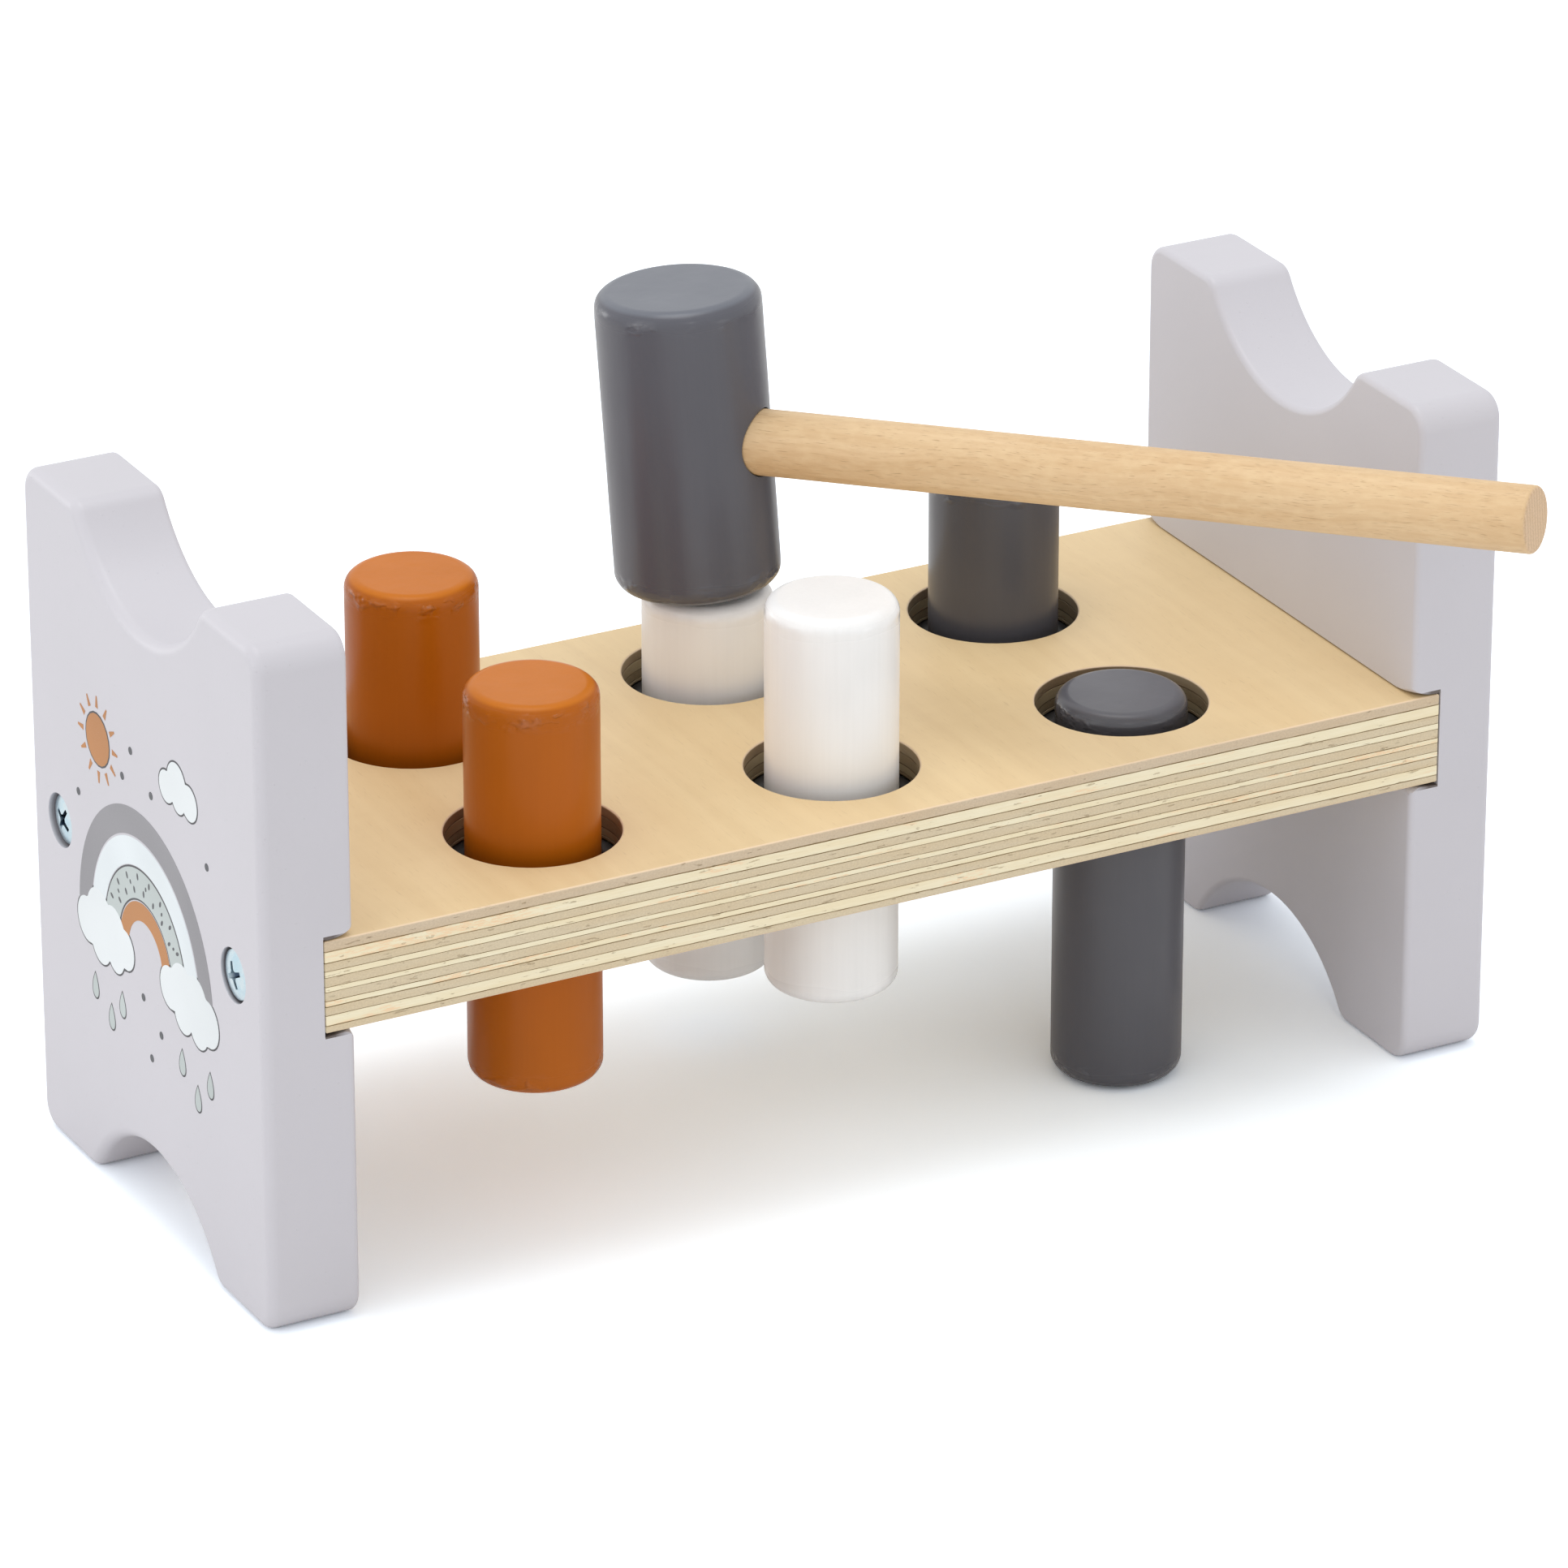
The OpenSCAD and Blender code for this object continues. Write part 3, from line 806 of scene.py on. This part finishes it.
def sawn_plies(name):
    """The sawn and bored edges: plies, glue lines, torn chips, lighter sanded rims with a painted highlight,
    and darker hole walls.
    """
    finish, tree, shader = new_finish(name)
    texture = add(tree, "ShaderNodeTexCoord")
    coords = texture.outputs["Object"]
    place = axes(tree, coords)
    facing = axes(tree, texture.outputs["Normal"])

    wave = mottle(tree, coords, 14, 1)
    height = maths(tree, "ADD", place[2], ranged(tree, wave, 0.3, 0.7, -0.05 * MM, 0.05 * MM))
    share = ranged(tree, height, board_low.z, board_low.z + board_t)
    rising = [(level + board_half.z) / board_t for level in glue_levels[::-1]]
    dark = layers(tree, share, rising, [1 - k % 2 for k in range(len(rising) + 1)])
    lines = []
    for level in rising:
        lines += [level - glue_half / board_t, level + glue_half / board_t]
    glue = layers(tree, share, lines, [k % 2 for k in range(len(lines) + 1)])
    sideways = ranged(tree, maths(tree, "ABSOLUTE", facing[0]), 0.5, 0.85)
    swap = times(tree, sideways, maths(tree, "SUBTRACT", 1, times(tree, dark, 2)))
    end_grain = maths(tree, "ADD", dark, swap)

    fibres = mottle(tree, coords, (6, 6, 0.25), 3, 0.6)
    pores = mottle(tree, coords, (0.45, 0.45, 0.3), 3, 0.65)
    slow = mottle(tree, coords, (22, 22, 2.2), 2)
    light_ply = mixed(tree, ranged(tree, fibres, 0.3, 0.7), (0.925, 0.83, 0.585, 1), (0.98, 0.90, 0.67, 1))
    dark_ply = mixed(tree, ranged(tree, pores, 0.3, 0.7), (0.66, 0.555, 0.385, 1), (0.79, 0.675, 0.475, 1))
    wood = mixed(tree, end_grain, light_ply, dark_ply)
    top_ply = maths(tree, "GREATER_THAN", height, board_middle.z + glue_levels[0])
    wood = mixed(tree, top_ply, wood, (0.93, 0.89, 0.91, 1), "MULTIPLY")
    wood = mixed(tree, ranged(tree, slow, 0.35, 0.7, 0, 0.5), wood, (0.96, 0.88, 0.76, 1), "MULTIPLY")

    torn = ranged(tree, mottle(tree, coords, (3.2, 3.2, 0.55), 3, 0.6), 0.66, 0.72)
    wood = mixed(tree, times(tree, torn, 0.45), wood, (0.52, 0.35, 0.16, 1))
    patches = ranged(tree, mottle(tree, coords, (24, 24, 2.4), 1), 0.60, 0.66)
    chips = ranged(tree, mottle(tree, coords, (2.6, 2.6, 0.4), 3, 0.7), 0.47, 0.54, 0, 0.9)
    from_torn = maths(tree, "ABSOLUTE", maths(tree, "SUBTRACT", place[0], torn_x))
    upper = maths(tree, "GREATER_THAN", height, board_middle.z + glue_levels[2])
    near_torn = times(tree, ranged(tree, from_torn, 12 * MM, 26 * MM, 1, 0), upper)
    chipped = times(tree, maths(tree, "MAXIMUM", patches, near_torn), chips)
    chipped = times(tree, chipped, maths(tree, "SUBTRACT", 1, end_grain))
    wood = mixed(tree, chipped, wood, (0.96, 0.70, 0.44, 1))

    broken = ranged(tree, mottle(tree, coords, 5, 1), 0.3, 0.6, 0.65, 1)
    wood = mixed(tree, times(tree, glue, broken), wood, (0.23, 0.145, 0.045, 1))
    # Partly real and partly painted light: the sanded rims show lighter bare wood, and the colour also
    # paints the highlight along the rounded edge.
    off_middle = maths(tree, "ABSOLUTE", maths(tree, "SUBTRACT", place[2], board_middle.z))
    sanded = ranged(tree, off_middle, board_half.z - 0.28 * MM, board_half.z - 0.16 * MM, 0, 0.85)
    wood = mixed(tree, sanded, wood, (0.95, 0.73, 0.50, 1))
    # The walls of the holes are made darker, except on their sanded rims.
    inwards = ranged(tree, inside(tree, board_half.y, place[1]), 1 * MM, 2 * MM)
    bored = maths(tree, "LESS_THAN", maths(tree, "ABSOLUTE", place[0]), 100 * MM)
    bored = times(tree, bored, inwards, maths(tree, "SUBTRACT", 1, sanded))
    wood = mixed(tree, bored, wood, (0.46, 0.40, 0.33, 1), "MULTIPLY")

    relief = maths(tree, "ADD", times(tree, fibres, 0.5), times(tree, pores, end_grain))
    feed(shader, {"Base Color": wood, "Roughness": ranged(tree, pores, 0.3, 0.7, 0.52, 0.68),
                  "Normal": bumps(tree, torn, -0.12 * MM, bumps(tree, relief, 0.05 * MM))})
    return finish


def bent_grain(tree, coords, size, reach):
    """Coordinates pushed aside by soft waves, so that grain drawn on them runs in bends."""
    bend = times(tree, mottle(tree, coords, size, 1), reach)
    push = add(tree, "ShaderNodeCombineXYZ", {0: bend}).outputs[0]
    return add(tree, "ShaderNodeVectorMath", {0: coords, 1: push}, operation="ADD").outputs[0]


def lacquered_veneer(name):
    """The faces: pale birch under clear satin lacquer, its faint grain running from front to back."""
    finish, tree, shader = new_finish(name)
    coords = object_coords(tree)
    flow = bent_grain(tree, coords, (35, 70, 35), 9 * MM)
    streaks = mottle(tree, flow, (3.4, 75, 3.4), 4, 0.55)
    wide = mottle(tree, flow, (16, 60, 16), 2)
    pores = mottle(tree, flow, (0.22, 3.6, 0.22), 1)
    figure = mottle(tree, coords, (9, 5, 9), 1)
    wood = mixed(tree, ranged(tree, streaks, 0.32, 0.68), (0.83, 0.627, 0.352, 1), (0.87, 0.672, 0.388, 1))
    wood = mixed(tree, ranged(tree, wide, 0.35, 0.68, 0, 0.6), wood, (0.97, 0.94, 0.90, 1), "MULTIPLY")
    wood = mixed(tree, ranged(tree, figure, 0.4, 0.7, 0, 0.35), wood, (0.96, 0.95, 0.93, 1), "MULTIPLY")
    wood = mixed(tree, ranged(tree, pores, 0.66, 0.78, 0, 0.18), wood, (0.38, 0.23, 0.09, 1))
    relief = maths(tree, "SUBTRACT", streaks, ranged(tree, pores, 0.64, 0.78, 0, 0.8))
    feed(shader, {"Base Color": wood, "Roughness": ranged(tree, streaks, 0.3, 0.7, 0.44, 0.52),
                  "Normal": bumps(tree, relief, 0.015 * MM)})
    return finish


peg_nodes = [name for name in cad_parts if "_peg_" in name]
work = bmesh.new()
walls = [wall(work, board_stations(), sawn_rows(board_edge_r), 0.5)]
for name in peg_nodes:
    low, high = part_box(name)
    walls.append(wall(work, hole_stations((low + high) / 2), bored_rows(), 1.0))
for k, way in ((0, 1), (1, -1)):
    edges = [edge for pair in walls for edge in pair[k]]
    bmesh.ops.triangle_fill(work, use_beauty=True, edges=edges, normal=(0, 0, way))
board = piece_of("birch_board", work)
even_shading(board)
dress(board, sawn_plies("sawn_plies"), "bench", "peg_board")
board.data.materials.append(lacquered_veneer("lacquered_veneer"))
for face in board.data.polygons:
    flat = abs(face.normal.z) > 0.9 and abs(face.center.z - board_middle.z) > board_half.z - 1 * MM
    face.material_index = 1 if flat else 0

# The grip rings
# A ring of black rubber cord sits in the groove of each hole. It centres the peg, and its grip holds the peg
# at any height until the hammer drives it on.
ring_steps = 108
cord_steps = 32


def rubber_cord(name):
    """Black rubber, satin where pegs have rubbed it, with a faint bloom and fine moulding grain."""
    finish, tree, shader = new_finish(name)
    coords = object_coords(tree)
    bloom = mottle(tree, coords, 4, 3)
    grain = mottle(tree, coords, 0.25, 2)
    tone = mixed(tree, ranged(tree, bloom, 0.4, 0.7), (0.016, 0.016, 0.017, 1), (0.040, 0.039, 0.038, 1))
    feed(shader, {"Base Color": tone, "Roughness": ranged(tree, bloom, 0.3, 0.7, 0.28, 0.5),
                  "Normal": bumps(tree, grain, 0.02 * MM)})
    return finish


rubber = rubber_cord("black_rubber")
for node in [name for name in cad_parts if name.startswith("ring_")]:
    low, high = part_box(node)
    middle = (low + high) / 2
    cord_r = (high.z - low.z) / 2
    ring_r = (high.x - low.x) / 2 - cord_r
    points = []
    faces = []
    for i, around in enumerate(turns(ring_steps)):
        start = i * cord_steps
        ahead = (i + 1) % ring_steps * cord_steps
        for j, a in enumerate(turns(cord_steps)):
            up = (j + 1) % cord_steps
            out = ring_r + cord_r * math.cos(a)
            points.append(middle + turned_spot(out, around, cord_r * math.sin(a)))
            faces.append((start + j, ahead + j, ahead + up, start + up))
    dress(new_piece(node + "_rubber", points, faces), rubber, "bench", node)

# The pegs
# Six turned wooden pegs with rounded ends, dipped in half gloss paint: two rust, two white and two grey.
# The paint runs smooth down the sides and dries lumpy round the rims, where it catches the light.
peg_len = 77 * MM
peg_round = 2.6 * MM
peg_waves = {"size": 6 * MM, "height": 0.04 * MM, "inset": 0.06 * MM}
peg_lumps = {"size": 2.2 * MM, "height": 0.12 * MM, "below_end": 2 * MM, "run": 2.2 * MM}
peg_paints = {  # colours of its sides and of its ends, the ends painted lighter where the tops catch the light, gloss, and height of its lumps in millimetres
    "rust": ((0.475, 0.119, 0.004, 1), (0.62, 0.176, 0.005, 1), 0.2, 0.7),
    "white": ((0.99, 0.99, 0.985, 1), (0.995, 0.995, 0.995, 1), 0.5, 0.02),
    "grey": ((0.088, 0.088, 0.102, 1), (0.110, 0.110, 0.128, 1), 0.5, 0.35),
}


def round_profile(radius, low_z, high_z, round_r, row):
    """(radius, height) pairs down a turned round with rounded ends."""
    profile = [(radius - inset, high_z - along) for inset, along in rounding(round_r, 10)]
    side_len = high_z - low_z - 2 * round_r
    rows = int(side_len / row)
    for k in [0.15, *range(1, rows), rows - 0.15]:
        profile.append((radius, high_z - round_r - side_len * k / rows))
    return profile + [(radius - inset, low_z + along) for inset, along in rounding(round_r, 10)[::-1]]


def paint_skin(spot, from_end, waves, lumps):
    """How far the paint's skin lies inside the turned size, with lumps below the rims."""
    away = min(1, abs(from_end - lumps["below_end"]) / lumps["run"])
    rim = 0.5 + 0.5 * math.cos(math.pi * away)
    slow = noise.noise(spot / waves["size"]) * 0.5 + 0.5
    quick = noise.noise(spot / lumps["size"]) * 0.5
    return slow * waves["height"] + waves["inset"] + quick * lumps["height"] * rim


def paint_on_wood(name, side_colour, lit_end_colour, gloss, lumps_mm, coords_from, depth_from):
    """Half gloss paint on turned wood: painted lighter on the ends where they catch the light, faintly
    grained, and lumpy below the rims.
    """
    finish, tree, shader = new_finish(name)
    coords = coords_from(tree)
    depth = depth_from(tree)
    soft = mottle(tree, coords, (4.5, 4.5, 9), 1)
    grain = mottle(tree, coords, (0.8, 0.8, 26), 2)
    peel = mottle(tree, coords, 0.7, 1)
    clouds = mottle(tree, coords, (18, 18, 30), 2)
    # Painted light: the ends take a lighter colour for the light that the tops catch.
    tone = mixed(tree, ranged(tree, depth, 0.35 * MM, 0.8 * MM), lit_end_colour, side_colour)
    tone = mixed(tree, ranged(tree, clouds, 0.3, 0.7, 0, 0.08), tone, (0, 0, 0, 1))
    tone = mixed(tree, ranged(tree, grain, 0.4, 0.7, 0, 0.02), tone, (0, 0, 0, 1))
    relief = maths(tree, "ADD", times(tree, soft, 2.0), times(tree, grain, 0.05))
    relief = maths(tree, "ADD", relief, times(tree, peel, 0.18))
    blobs = ranged(tree, mottle(tree, coords, (2.6, 2.6, 1.6), 1), 0.45, 0.75)
    patches = ranged(tree, mottle(tree, coords, 8, 1), 0.48, 0.58)
    below_rim = times(tree, ranged(tree, depth, 0.6 * MM, 1.8 * MM, 0, 1, "SMOOTHSTEP"),
                      ranged(tree, depth, 1.8 * MM, 5.5 * MM, 1, 0, "SMOOTHSTEP"))
    lumps = times(tree, patches, below_rim, blobs)
    rough = maths(tree, "SUBTRACT", ranged(tree, clouds, 0.3, 0.7, 0.29, 0.37), times(tree, below_rim, 0.1))
    feed(shader, {"Base Color": tone, "Roughness": rough, "Specular IOR Level": gloss,
                  "Coat Weight": lumps, "Coat Roughness": 0.1,
                  "Normal": bumps(tree, lumps, lumps_mm * MM, bumps(tree, relief, 0.035 * MM))})
    return finish


def peg_depth(tree):
    """How far a point of a peg lies from its nearer end."""
    height = axes(tree, add(tree, "ShaderNodeTexCoord").outputs["Generated"])[2]
    return times(tree, maths(tree, "MINIMUM", height, maths(tree, "SUBTRACT", 1, height)), peg_len)


for colour_name, recipe in peg_paints.items():
    paint = paint_on_wood(colour_name + "_paint", *recipe, object_coords, peg_depth)
    for node in [name for name in peg_nodes if name.startswith(colour_name)]:
        low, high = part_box(node)
        middle = (low + high) / 2
        half_len = (high.z - low.z) / 2

        def peg_skin(radius, angle, height):
            spot = middle + turned_spot(radius, angle, height)
            return paint_skin(spot, half_len - abs(height), peg_waves, peg_lumps)

        profile = round_profile((high.x - low.x) / 2, -half_len, half_len, peg_round, 1.8 * MM)
        peg = turned_piece(node + "_painted", profile, 96, Matrix.Translation(middle), peg_skin)
        even_shading(peg)
        dress(peg, paint, node, node)

# The hammer head
# A turned round of wood, painted the same grey as the two pegs, with a bore half way along for its handle.
# In this view it stands on the low white peg and leans a little.
head_low, head_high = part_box("hammer_head")
head_radius = 15.75 * MM
head_len = 58 * MM
head_round = 3 * MM
head_waves = {"size": 8 * MM, "height": 0.06 * MM, "inset": 0.08 * MM}
head_lumps = {"size": 3.5 * MM, "height": 0.16 * MM, "below_end": 2.5 * MM, "run": 2.6 * MM}
hammer_turn = math.radians(-53)
hammer_lean = math.radians(4.2)
handle_r = 6.25 * MM
bore_r = handle_r + 0.1 * MM
bore_mouth_r = handle_r + 0.25 * MM
bore_mouth_end = head_radius - 2.6 * MM
bore_end = -4.35 * MM
head_place = Matrix.Translation((head_low + head_high) / 2)
head_place = head_place @ Matrix.Rotation(hammer_turn, 4, "Z") @ Matrix.Rotation(-hammer_lean, 4, "Y")
handle_place = head_place @ Matrix.Rotation(math.pi / 2, 4, "Y")


def hammer_coords(tree, tilt):
    """Coordinates from the middle of the hammer head, with Z along the piece that is tilted so."""
    feeds = {"Vector": object_coords(tree), "Location": head_place.translation}
    feeds["Rotation"] = (0, tilt, hammer_turn)
    return add(tree, "ShaderNodeMapping", feeds, vector_type="TEXTURE").outputs[0]


def head_coords(tree):
    """Coordinates along the hammer head, from its middle."""
    return hammer_coords(tree, -hammer_lean)


def head_depth(tree):
    """How far a point of the head lies from its nearer end."""
    return inside(tree, head_len / 2, axes(tree, head_coords(tree))[2])


def head_skin(radius, angle, height):
    """Dents of the paint and of the turned wood below it."""
    return paint_skin(turned_spot(radius, angle, height), head_len / 2 - abs(height), head_waves, head_lumps)


profile = round_profile(head_radius, -head_len / 2, head_len / 2, head_round, 1.6 * MM)
head = turned_piece("hammer_head_painted", profile, 128, head_place, head_skin)
bore = [(bore_mouth_r, 2 * head_radius), (bore_mouth_r, bore_mouth_end)]
bore += [(bore_r, bore_mouth_end - 0.2 * MM), (bore_r, bore_end)]
carve(head, turned_piece("bore_cut", bore, 96, handle_place))
even_shading(head)
# The lighter bluish end colour is a painted reflection of the bright room on the head's ends.
head_paint = paint_on_wood("hammer_paint", (0.102, 0.104, 0.126, 1), (0.146, 0.158, 0.190, 1), 0.5, 0.25,
                           head_coords, head_depth)
dress(head, head_paint, "hammer", "hammer_head")

# The hammer handle
# A bare birch dowel, sanded and glued into the head. Its grain runs along it in soft waves, and its free end
# shows end grain inside a small rounded edge.
handle_start = -4.25 * MM
handle_end = 168.25 * MM
handle_round = 0.8 * MM
handle_bevel = 0.5 * MM


def handle_dents(radius, angle, height):
    """The dowel isn't perfectly round."""
    spot = turned_spot(radius, angle, height * 0.3)
    return (noise.noise(spot / (5 * MM)) * 0.5 + 0.5) * 0.05 * MM


def bare_dowel(name):
    """Bare sanded birch: wavy streaks, silky flecks, short brown pores and end grain."""
    finish, tree, shader = new_finish(name)
    coords = hammer_coords(tree, math.pi / 2 - hammer_lean)
    flow = bent_grain(tree, coords, (11, 11, 30), 6 * MM)
    streaks = mottle(tree, flow, (1.3, 1.3, 42), 4, 0.6)
    wide = mottle(tree, flow, (5, 5, 50), 2)
    flecks = mottle(tree, coords, (1.6, 1.6, 3.2), 2)
    pores = mottle(tree, flow, (0.16, 0.16, 3.0), 1)
    ends = mottle(tree, coords, (0.35, 0.35, 4), 2, 0.6)
    year_feeds = {"Vector": flow, "Scale": 260.0, "Distortion": 1.5, "Detail": 2.0}
    years = add(tree, "ShaderNodeTexWave", year_feeds, bands_direction="Y").outputs[1]
    wood = mixed(tree, ranged(tree, streaks, 0.3, 0.7), (0.715, 0.49, 0.266, 1), (0.81, 0.585, 0.343, 1))
    wood = mixed(tree, ranged(tree, wide, 0.35, 0.68, 0, 0.7), wood, (0.94, 0.89, 0.82, 1), "MULTIPLY")
    wood = mixed(tree, ranged(tree, flecks, 0.45, 0.72, 0, 0.35), wood, (0.88, 0.67, 0.40, 1))
    wood = mixed(tree, ranged(tree, pores, 0.64, 0.76, 0, 0.45), wood, (0.36, 0.20, 0.08, 1))
    end_wood = mixed(tree, ranged(tree, ends, 0.35, 0.65), (0.66, 0.46, 0.28, 1), (0.80, 0.57, 0.36, 1))
    end_wood = mixed(tree, ranged(tree, years, 0.2, 0.9, 0, 0.3), end_wood, (0.46, 0.28, 0.14, 1))
    at_end = ranged(tree, axes(tree, coords)[2], handle_end - 0.35 * MM, handle_end - 0.1 * MM)
    relief = maths(tree, "SUBTRACT", streaks, ranged(tree, pores, 0.62, 0.78))
    feed(shader, {"Base Color": mixed(tree, at_end, wood, end_wood),
                  "Roughness": ranged(tree, flecks, 0.3, 0.7, 0.50, 0.62),
                  "Normal": bumps(tree, relief, 0.035 * MM)})
    return finish


profile = [(handle_r - inset, handle_end - along) for inset, along in rounding(handle_round, 6)]
side_top = handle_end - handle_round
for k in range(1, 90):
    profile.append((handle_r, side_top - (side_top - handle_start) * k / 90))
profile += [(handle_r, handle_start + handle_bevel), (handle_r - handle_bevel, handle_start)]
handle = turned_piece("hammer_dowel", profile, 72, handle_place, handle_dents)
even_shading(handle)
dress(handle, bare_dowel("bare_birch"), "hammer", "hammer_handle")
